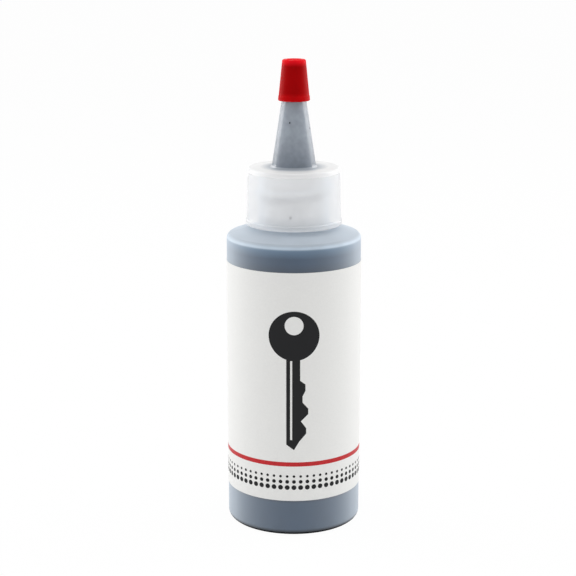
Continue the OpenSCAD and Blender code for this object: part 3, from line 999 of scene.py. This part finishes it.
class SQUEEZE_BOTTLE_OT_graphite(Operator):
    """Gives the powder in the bottle its finish, turns the film in the spout and sets single grains"""

    bl_idname = "squeeze_bottle.graphite"
    bl_label = "Graphite"

    def execute(self, context):
        settings = context.scene.squeeze_bottle
        closure = settings.closure
        settled = graphite("Settled graphite powder", settings.bottle.powder_colour)
        clinging = graphite("Clinging graphite powder", closure.film_colour)
        thin = graphite("Thin film of graphite powder", closure.haze_colour)
        for name, material in (("powder_charge", settled), ("headspace_dust", thin)):
            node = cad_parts[name]
            node.data.materials.clear()
            node.data.materials.append(material)
        low, high = SPOUT_DUST_LOW.z, SPOUT_DUST_HIGH.z
        wide = SPOUT_DUST_HIGH.x
        narrow = wide + spout_radius(settings, high) - spout_radius(settings, low)
        film = turn_section("spout_film", [
            (wide, low),
            (narrow, high),
            (narrow - closure.film, high),
            (wide - closure.film, low),
        ], closure.turn_steps)
        finish_piece(film, "screw_stage", [clinging], ["spout_dust"])
        finish_piece(self.grains(settings), "closure", [settled])
        return {"FINISHED"}

    def grains(self, settings):
        """Single grains that cling to the outside of the spout and to the inside of the skirt."""
        grains = start_mesh("clinging_grains")
        bpy.ops.mesh.delete(type="VERT")
        for index, (turn, height_mm, radius_mm) in enumerate(GRAINS):
            height = height_mm * MM
            radius = radius_mm * MM
            on_spout = height > deck_height(settings)
            seat = spout_radius(settings, height) if on_spout else skirt_inside(settings)
            middle = (0, -seat, height)
            bpy.ops.mesh.select_all(action="DESELECT")
            bpy.ops.mesh.primitive_ico_sphere_add(subdivisions=2, radius=radius, location=middle)
            bpy.ops.transform.resize(value=GRAIN_SHAPE, center_override=middle)
            bpy.ops.transform.vertex_random(offset=GRAIN_ROUGHNESS * radius, seed=index)
            bpy.ops.transform.rotate(value=math.radians(turn), orient_axis="Z", center_override=ORIGIN)
        close_mesh(grains)
        return grains


class SQUEEZE_BOTTLE_OT_closure(Operator):
    """Turns the closure with its skirt, plug seal and spout, and adds its thread"""

    bl_idname = "squeeze_bottle.closure"
    bl_label = "Spout closure"

    def execute(self, context):
        settings = context.scene.squeeze_bottle
        bottle = settings.bottle
        thread = settings.thread
        closure = settings.closure
        inside = skirt_inside(settings)
        outside = inside + closure.skirt_wall
        low = closure.skirt_bottom
        rim = outside + closure.rim_out
        rim_top = low + closure.rim_height
        under = bottle.neck_top + closure.seat
        deck = deck_height(settings)
        plug = bottle.neck_radius - bottle.neck_wall - closure.plug_clearance
        plug_low = under - closure.plug_height
        land = closure.spout_top - closure.orifice_land

        def skirt(height):
            return outside - (height - low) * math.tan(closure.skirt_draft)

        def bore(height):
            return spout_radius(settings, height) - closure.spout_wall

        def part_at(place):
            """The part of the closure that a place on its surface belongs to."""
            radius = place.xy.length
            outer = radius > bore(min(place.z, land)) + closure.spout_wall / 2
            if place.z > deck + closure.spout_fillet and outer:
                return "spout"
            if place.z > deck + TINY and outer:
                return "fillet"
            if place.z > under + TINY:
                return "bore" if radius < closure.spout_base - closure.spout_wall / 2 else "deck"
            if bottle.neck_radius < radius < inside - closure.rim_round:
                return "thread"
            return "inside" if radius < inside + TINY else "skirt"

        piece = turn_section("closure_moulded", [
            (inside, low, closure.rim_round),
            (rim, low, closure.rim_round),
            (rim, rim_top, closure.rim_round),
            (skirt(rim_top + closure.rim_out), rim_top + closure.rim_out, closure.rim_round),
            (skirt(under), under),
            (skirt(deck), deck, closure.deck_round),
            (closure.spout_base, deck, closure.spout_fillet),
            (closure.spout_tip, closure.spout_top, closure.tip_round),
            (closure.orifice, closure.spout_top),
            (closure.orifice, land),
            (bore(land), land),
            (bore(under), under),
            (plug - closure.plug_wall, under),
            (plug - closure.plug_wall, plug_low),
            (plug, plug_low, closure.rim_round),
            (plug, under),
            (inside, under),
        ], closure.turn_steps)
        bpy.ops.object.mode_set(mode="OBJECT")
        # The skirt's thread runs half a pitch below the neck's, so that the two engage.
        ridge_low = bottle.neck_top - thread.drop - (thread.turns + 0.5) * thread.pitch
        sunk = inside + thread.sink
        ridge = wind_thread(
            "skirt_thread", thread, ridge_low,
            (sunk, thread.root_width), (bottle.neck_radius + thread.clearance, thread.crest_width),
        )
        combine(piece, ridge, "UNION")
        plain = [(low, closure.skirt_colour), (deck, closure.skirt_colour)]
        finishes = {
            "skirt": moulded_polyethylene("skirt", closure.skirt_veil, plain),
            "inside": moulded_polyethylene("inside", closure.inside_veil, plain),
            "spout": moulded_polyethylene("spout", closure.spout_veil, [
                (deck, closure.foot_colour),
                (deck + closure.foot_fade, closure.spout_colour),
            ], patch=closure.patch, strength=closure.patch_strength),
            "bore": moulded_polyethylene("bore", closure.bore_veil, [
                (deck, closure.spout_colour),
                (closure.spout_top, closure.spout_colour),
            ]),
            # The deck is darker round the spout's foot, partly painted contact shade, and lighter at its
            # edge, a painted highlight from above.
            "deck": moulded_polyethylene("deck", closure.deck_veil, [
                (closure.spout_base, closure.deck_dust_and_shade_colour),
                (closure.spout_base + closure.deck_dust_and_shade_width, closure.deck_colour),
                (skirt(deck) - closure.deck_round, closure.deck_colour),
                (skirt(deck), closure.deck_edge_colour),
            ], across=True),
            "fillet": moulded_polyethylene("fillet", closure.spout_veil, [
                (deck, closure.ring_colour),
                (deck + closure.spout_fillet, closure.ring_colour),
            ]),
            "thread": moulded_polyethylene("thread", closure.thread_veil, plain),
        }
        finish_piece(piece, "closure", finishes.values(), ["spout_closure"])
        # Milky plastic lets most light through, so it throws no shadow on the neck inside it.
        piece.visible_shadow = False
        parts = list(finishes)
        for face in piece.data.polygons:
            face.material_index = parts.index(part_at(face.center))
        return {"FINISHED"}


class SQUEEZE_BOTTLE_OT_tip(Operator):
    """Turns the red cap that seals the spout's tip"""

    bl_idname = "squeeze_bottle.tip"
    bl_label = "Tip cap"

    def execute(self, context):
        settings = context.scene.squeeze_bottle
        tip = settings.tip
        closure = settings.closure
        roof = closure.spout_top + tip.clearance
        inside = closure.spout_tip + tip.clearance
        mouth_inside = spout_radius(settings, tip.mouth) + tip.clearance
        mouth_outside = mouth_inside + tip.mouth_wall
        lean = (mouth_outside - inside - tip.roof_wall) / (roof - tip.mouth)

        def outside(height):
            return mouth_outside - (height - tip.mouth) * lean

        bead = mouth_outside + tip.bead_out
        bead_top = tip.mouth + tip.bead_height
        dish = outside(tip.top) - tip.dish_rim
        dish_floor = tip.top - tip.dish_depth
        piece = turn_section("tip_cap_moulded", [
            (0, roof),
            (inside, roof),
            (mouth_inside, tip.mouth, tip.bead_round),
            (bead, tip.mouth, tip.bead_round),
            (outside(bead_top) + tip.bead_out, bead_top),
            (outside(bead_top + tip.bead_out), bead_top + tip.bead_out),
            (outside(tip.top), tip.top, tip.edge_round),
            (dish, tip.top, tip.dish_round),
            (dish - tip.dish_depth, dish_floor, tip.dish_round),
            (tip.gate_radius, dish_floor),
            (tip.gate_radius - tip.gate_height, dish_floor + tip.gate_height),
            (0, dish_floor + tip.gate_height),
        ], tip.turn_steps, closed=False)
        finish_piece(piece, "tip", [red_polyethylene(tip)], ["tip_cap"])
        return {"FINISHED"}


class SQUEEZE_BOTTLE_OT_stage(Operator):
    """Sets the floor, the white surround, the soft boxes and the camera"""

    bl_idname = "squeeze_bottle.stage"
    bl_label = "Stage"

    def execute(self, context):
        stage = context.scene.squeeze_bottle.stage
        bpy.ops.object.select_all(action="DESELECT")
        bpy.ops.mesh.primitive_plane_add(size=stage.floor_size)
        floor = context.object
        floor.name = "floor"
        floor.data.materials.append(self.sweep(stage))
        self.surround(context, stage)
        for name, way in (("Left soft box", -1), ("Right soft box", 1)):
            place = (way * stage.side_reach, stage.side_back, stage.side_height)
            self.soft_box(stage, name, place, (stage.side_width, stage.side_length), stage.side_power)
        place = (0, -stage.top_front, stage.top_height)
        self.soft_box(stage, "Top soft box", place, (stage.top_width, stage.top_width), stage.top_power)
        bpy.ops.object.camera_add(
            location=(stage.camera_side, -stage.camera_distance, stage.camera_height),
            rotation=(math.pi / 2 - stage.camera_tilt, 0, 0),
        )
        camera = context.object
        camera.name = "camera"
        camera.data.sensor_width = SENSOR_WIDTH
        camera.data.lens = stage.lens
        camera.data.clip_start = NEAR_CLIP
        context.scene.camera = camera
        context.scene.view_settings.view_transform = "Standard"
        return {"FINISHED"}

    def seen_directly(self, tree):
        """1 for rays that show the surround itself: from the camera, in gloss or refracted."""
        path = add_node(tree, "ShaderNodeLightPath").outputs
        gloss = add_node(
            tree, "ShaderNodeMath", {0: path["Is Camera Ray"], 1: path["Is Glossy Ray"]}, operation="MAXIMUM"
        ).outputs[0]
        return add_node(
            tree, "ShaderNodeMath", {0: gloss, 1: path["Is Transmission Ray"]}, operation="MAXIMUM"
        ).outputs[0]

    def sweep(self, stage):
        """Matt white card: shows as white where it is seen, and keeps a soft shadow under the bottle."""
        material = bpy.data.materials.new("Matt white card")
        material.use_nodes = True
        tree = material.node_tree
        card = tree.nodes["Principled BSDF"]
        card.inputs["Base Color"].default_value = linear(stage.floor_colour)
        card.inputs["Roughness"].default_value = 0.9
        glow = add_node(tree, "ShaderNodeEmission", {"Color": WHITE, "Strength": 1}).outputs["Emission"]
        share = add_node(
            tree, "ShaderNodeMath", {0: self.seen_directly(tree), 1: stage.floor_glow}, operation="MULTIPLY"
        ).outputs[0]
        mixed = add_node(tree, "ShaderNodeMixShader", {0: share, 1: card.outputs["BSDF"], 2: glow}).outputs[0]
        tree.links.new(mixed, tree.nodes["Material Output"].inputs["Surface"])
        return material

    def surround(self, context, stage):
        """White where it is seen, and an even fill light on the object."""
        world = bpy.data.worlds.new("White surround")
        context.scene.world = world
        world.use_nodes = True
        tree = world.node_tree
        fill = tree.nodes["Background"]
        fill.inputs["Color"].default_value = WHITE
        fill.inputs["Strength"].default_value = stage.fill_level
        white = add_node(tree, "ShaderNodeBackground", {"Color": WHITE, "Strength": 1}).outputs[0]
        mixed = add_node(
            tree, "ShaderNodeMixShader", {0: self.seen_directly(tree), 1: fill.outputs[0], 2: white}
        ).outputs[0]
        tree.links.new(mixed, tree.nodes["World Output"].inputs["Surface"])

    def soft_box(self, stage, name, place, sides, power):
        """A flat soft lamp aimed at the middle of the bottle."""
        aim = Vector((0, 0, stage.aim_height)) - Vector(place)
        turn = aim.to_track_quat("-Z", "Y").to_euler()
        bpy.ops.object.light_add(type="AREA", location=place, rotation=turn)
        lamp = bpy.context.object
        lamp.name = name
        lamp.data.shape = "RECTANGLE"
        lamp.data.size, lamp.data.size_y = sides
        lamp.data.energy = power


class SQUEEZE_BOTTLE_PT_panel(Panel):
    """Lists the pieces of the squeeze bottle and its stage"""

    bl_label = "Squeeze Bottle"
    bl_space_type = "VIEW_3D"
    bl_region_type = "UI"
    bl_category = "Squeeze Bottle"

    def draw(self, context):
        for operator in OPERATORS:
            self.layout.operator(operator.bl_idname)


SETTINGS = (
    BottleSettings, ThreadSettings, LabelSettings, ClosureSettings, TipSettings, StageSettings, BottleScene,
)
OPERATORS = (
    SQUEEZE_BOTTLE_OT_bottle, SQUEEZE_BOTTLE_OT_label, SQUEEZE_BOTTLE_OT_graphite, SQUEEZE_BOTTLE_OT_closure,
    SQUEEZE_BOTTLE_OT_tip, SQUEEZE_BOTTLE_OT_stage,
)
CLASSES = (*SETTINGS, *OPERATORS, SQUEEZE_BOTTLE_PT_panel)


def register():
    """Registers the classes and the scene's settings."""
    for item in CLASSES:
        bpy.utils.register_class(item)
    bpy.types.Scene.squeeze_bottle = PointerProperty(type=BottleScene)


def unregister():
    """Removes the scene's settings and the classes."""
    del bpy.types.Scene.squeeze_bottle
    for item in reversed(CLASSES):
        bpy.utils.unregister_class(item)


def main():
    register()
    bpy.ops.squeeze_bottle.bottle()
    bpy.ops.squeeze_bottle.label()
    bpy.ops.squeeze_bottle.graphite()
    bpy.ops.squeeze_bottle.closure()
    bpy.ops.squeeze_bottle.tip()
    bpy.ops.squeeze_bottle.stage()


if __name__ == "__main__":
    main()
